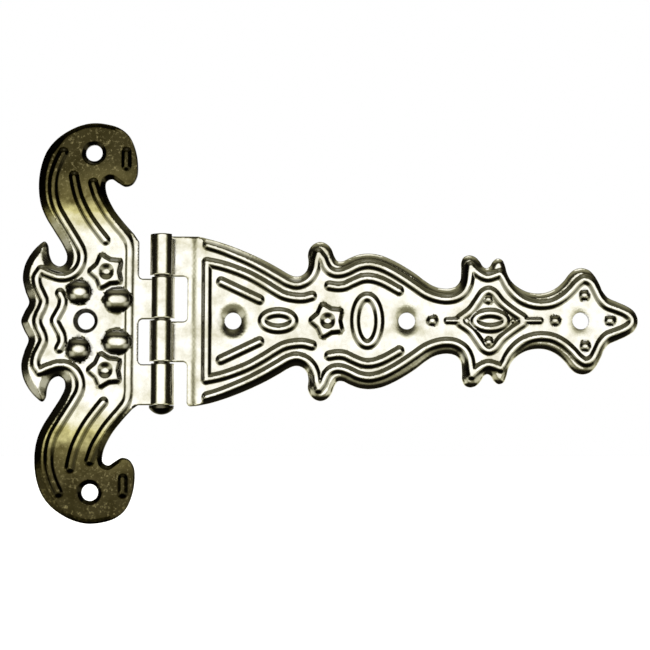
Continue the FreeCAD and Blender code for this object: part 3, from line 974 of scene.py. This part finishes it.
@dataclass(frozen=True)
class BrightPlating:
    """Bright nickel plating on pressed steel.

    The drawn metal gives a soft mirror with a faint orange peel. The flanks of the relief get
    painted shade, dark in place of the reflections on their slopes, and the ends of the wings
    yellow.
    """

    name: str = "bright_nickel_plating"
    bright: str = "#F1EFE6"
    dull: str = "#CBC7B0"
    # painted shade colour for the steep flanks of the relief
    painted_flank_shade: str = "#2B2820"
    yellowed: str = "#D0CA92"
    aged: str = "#6B6440"
    darkest: str = "#3D3822"
    speckle: str = "#A59A6C"
    roughness: float = 0.13
    peel_mm: float = 0.9       # cells of the orange peel, coarser than real so that they show
    peel_depth_mm: float = 0.06
    blotch_mm: float = 7.0     # size of the duller blotches
    speckle_mm: float = 1.1
    aged_from_mm: float = 24.0     # height above the middle where the ageing starts
    aged_until_mm: float = 58.0    # and where it is full
    ragged_mm: float = 16.0    # how far the blotches shift the ageing
    painted_shade_share: float = 0.85  # how far a full flank turns to its painted shade colour

    def material(self) -> bpy.types.Material:
        """Makes the material, which reads the sheet's painted_flank_shade attribute and Object
        coordinates.

        Returns:
            The material.
        """
        material = bpy.data.materials.new(self.name)
        material.use_nodes = True
        tree = material.node_tree
        tree.nodes.clear()
        add = partial(add_node, tree)
        place = add("TexCoord").outputs["Object"]
        parts = add("SeparateXYZ", {"Vector": place})
        blotches = add("TexNoise", {"Vector": place, "Scale": 1 / (self.blotch_mm * MM),
                                    "Detail": 5.0, "Roughness": 0.62})
        tint = add("ValToRGB", {"Fac": blotches}, ((0.42, self.bright), (0.72, self.dull)))

        height = add("Math", {0: parts.outputs["Z"]}, operation="ABSOLUTE")
        ragged = add("Math", {0: blotches, 1: self.ragged_mm * MM, 2: height},
                     operation="MULTIPLY_ADD")
        shift = self.ragged_mm / 2
        age = add("MapRange", {"Value": ragged, "From Min": (self.aged_from_mm + shift) * MM,
                               "From Max": (self.aged_until_mm + shift) * MM},
                  interpolation_type="SMOOTHSTEP")
        patina = add("ValToRGB", {"Fac": age}, ((0.0, "#FFFFFF"), (0.35, self.yellowed),
                                                (0.62, self.aged), (1.0, self.darkest)))
        yellowed = add("Mix", {"Factor": 1.0, 6: tint, 7: patina},
                       data_type="RGBA", blend_type="MULTIPLY").outputs[2]
        grains = add("TexNoise", {"Vector": place, "Scale": 1 / (self.speckle_mm * MM),
                                  "Detail": 4.0, "Roughness": 0.7})
        grains = add("MapRange", {"Value": grains, "From Min": 0.54, "From Max": 0.72,
                                  "To Max": 0.6})
        specks = add("Math", {0: grains, 1: age}, operation="MULTIPLY")
        yellowed = add("Mix", {"Factor": specks, 6: yellowed, 7: linear(self.speckle)},
                       data_type="RGBA").outputs[2]
        # Painted shade: steep flanks are darkened towards a dark colour, in place of the
        # reflections on their slopes.
        steep = add("Attribute", attribute_name="painted_flank_shade").outputs["Fac"]
        shade = add("Math", {0: steep, 1: self.painted_shade_share}, operation="MULTIPLY")
        colour = add("Mix", {"Factor": shade, 6: yellowed, 7: linear(self.painted_flank_shade)},
                     data_type="RGBA").outputs[2]

        peel = add("TexNoise", {"Vector": place, "Scale": 1 / (self.peel_mm * MM), "Detail": 3.0})
        bump = add("Bump", {"Height": peel, "Strength": 0.35,
                            "Distance": self.peel_depth_mm * MM})
        rough = add("MapRange", {"Value": blotches, "From Min": 0.3, "From Max": 0.8,
                                 "To Min": self.roughness * 0.7, "To Max": self.roughness * 1.8})
        shader = add("BsdfPrincipled", {"Base Color": colour, "Metallic": 1.0,
                                        "Roughness": rough, "Normal": bump})
        add("OutputMaterial", {"Surface": shader})
        return material


@dataclass(frozen=True)
class HingePin:
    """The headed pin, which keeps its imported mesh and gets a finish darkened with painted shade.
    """

    # The pin's dark colours are painted shade, for its head that faces down into the dark.
    plating: BrightPlating = BrightPlating(
        name="pin_plating_with_painted_shade", bright="#6E6A5C", dull="#4A4638", roughness=0.22)

    def dress(self) -> None:
        """Puts the finish on the pin."""
        shaded_pin_plating = self.plating.material()
        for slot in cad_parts["hinge_pin"].material_slots:
            slot.material = shaded_pin_plating
        LOG.info("hinge_pin has %s", shaded_pin_plating.name)


# ---- studio


@dataclass(frozen=True)
class Studio:
    """Pale floor, soft tent light and the camera. Sizes in millimetres, angles in degrees."""

    floor_size: float = 8000.0
    floor_drop: float = 60.0
    tent_power: float = 1.32
    opening_half: Point = (0.72, 0.42)   # half width and height of the openings, as directions
    opening_lift: float = 0.07
    lamp_angle: float = 100.0
    lamp_power: float = 4.5
    camera_distance: float = 450.0
    camera_elevation: float = -4.5
    aim: Point = (-1.5, -1.6)    # where the camera points, from the hinge's middle
    lens: float = 73.8

    def floor(self, low: list[float]) -> None:
        """A matt pale floor below the hinge."""
        bpy.ops.mesh.primitive_plane_add(size=self.floor_size * MM,
                                         location=(0, 0, low[2] - self.floor_drop * MM))
        floor = bpy.context.object
        floor.name = "studio_floor"
        floor.visible_glossy = False
        paint = bpy.data.materials.new("matt_pale_floor")
        paint.use_nodes = True
        shader = paint.node_tree.nodes["Principled BSDF"]
        shader.inputs["Base Color"].default_value = linear("#FAFAF8")
        shader.inputs["Roughness"].default_value = 0.9
        floor.data.materials.append(paint)

    def tent(self) -> None:
        """The tent: bright openings before and behind the hinge, and darker cloth around them.

        A paler panel below and at the sides and a bright roof keep the other views light.
        """
        world = bpy.data.worlds.new("studio_tent")
        bpy.context.scene.world = world
        world.use_nodes = True
        tree = world.node_tree
        tree.nodes.clear()
        add = partial(add_node, tree)
        way = add("TexCoord").outputs["Generated"]
        parts = add("SeparateXYZ", {"Vector": way})
        sideways, up = add("Math", {0: parts}, operation="ABSOLUTE"), parts.outputs["Z"]
        across, along = self.opening_half
        flatter = add("Mapping", {"Vector": way, "Location": (0, 0, -self.opening_lift / along),
                                  "Scale": (1 / across, 0, 1 / along)})
        off = add("VectorMath", {0: flatter}, operation="LENGTH").outputs["Value"]
        # Soft changes: the value, where the change starts and ends, and the light before and
        # after it.
        changes = {
            "opening": (off, 0.6, 1.15, 1.0, 0.0),
            "below": (up, -0.05, -0.2, 0.0, 1.0), "not deep": (up, -0.45, -0.75, 1.0, 0.0),
            "side": (sideways, 0.25, 0.6, 0.35, 0.68), "not far": (sideways, 0.84, 0.93, 1.0, 0.3),
            "upper": (up, 0.50, 0.8, 0.0, 0.36), "crown": (up, 0.9, 0.975, 0.0, 0.9)}
        light = {name: add("MapRange", {"Value": value, "From Min": start, "From Max": end,
                                        "To Min": before, "To Max": after},
                           interpolation_type="SMOOTHSTEP")
                 for name, (value, start, end, before, after) in changes.items()}
        for name, how, first, second in (
                ("under", "MULTIPLY", "below", "not deep"),
                ("wings", "MULTIPLY", "side", "not far"),
                ("panel", "MULTIPLY", "under", "wings"), ("roof", "MAXIMUM", "upper", "crown"),
                ("high", "MAXIMUM", "opening", "roof"), ("all", "MAXIMUM", "high", "panel")):
            light[name] = add("Math", {0: light[first], 1: light[second]}, operation=how)
        cloth = add("ValToRGB", {"Fac": light["all"]},
                    ((0.0, "#16140F"), (0.2, "#45422F"), (0.45, "#97957A"),
                     (0.7, "#DEDDC9"), (0.86, "#F8F7EC"), (1.0, "#FFFFFF")))
        tent = add("Background", {"Color": cloth, "Strength": self.tent_power})
        sweep = add("Background", {"Color": linear("#FFFFFF"), "Strength": 1.0})
        path = add("LightPath").outputs["Is Camera Ray"]
        add("OutputWorld", {"Surface": add("MixShader", {0: path, 1: tent, 2: sweep})})

    def lamp(self) -> None:
        """A wide soft lamp above, which lights the floor evenly."""
        bpy.ops.object.light_add(type="SUN", location=(0, 0, 1.0))
        lamp = bpy.context.object
        lamp.name = "soft_lamp"
        lamp.data.angle = math.radians(self.lamp_angle)
        lamp.data.energy = self.lamp_power
        lamp.visible_glossy = False

    def camera(self, centre: list[float]) -> None:
        """The camera, square to the hinge and a little below its middle."""
        lens = bpy.data.cameras.new("camera")
        camera = bpy.data.objects.new("camera", lens)
        bpy.context.scene.collection.objects.link(camera)
        lift = math.radians(self.camera_elevation)
        reach = self.camera_distance * MM
        camera.location = (centre[0] + self.aim[0] * MM, centre[1] - reach * math.cos(lift),
                           centre[2] + self.aim[1] * MM + reach * math.sin(lift))
        camera.rotation_euler = (math.pi / 2 - lift, 0, 0)
        lens.sensor_width = 36
        lens.lens = self.lens
        bpy.context.scene.camera = camera

    def build(self) -> None:
        """Makes the floor, the light and the camera."""
        low, high = ([float(c) for c in corner] for corner in CAD_BOX)
        centre = [(a + b) / 2 for a, b in zip(low, high)]
        self.floor(low)
        self.tent()
        self.lamp()
        self.camera(centre)
        bpy.context.scene.view_settings.view_transform = "Standard"


# ---- assembly


def main() -> None:
    """Builds the hinge in the order of its making."""
    logging.basicConfig(level=logging.INFO, format="%(message)s")
    bpy.ops.object.select_all(action="DESELECT")
    plating = BrightPlating().material()
    for leaf, node, body in ((FrameLeaf(), "frame_leaf", "frame_side"),
                             (StrapLeaf(), "strap_leaf", "strap_side")):
        piece = leaf.build(plating)
        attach(piece, body)
        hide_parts(node)
        LOG.info("%s rides on %s", piece.name, body)
    HingePin().dress()
    Studio().build()


if __name__ == "__main__":
    main()
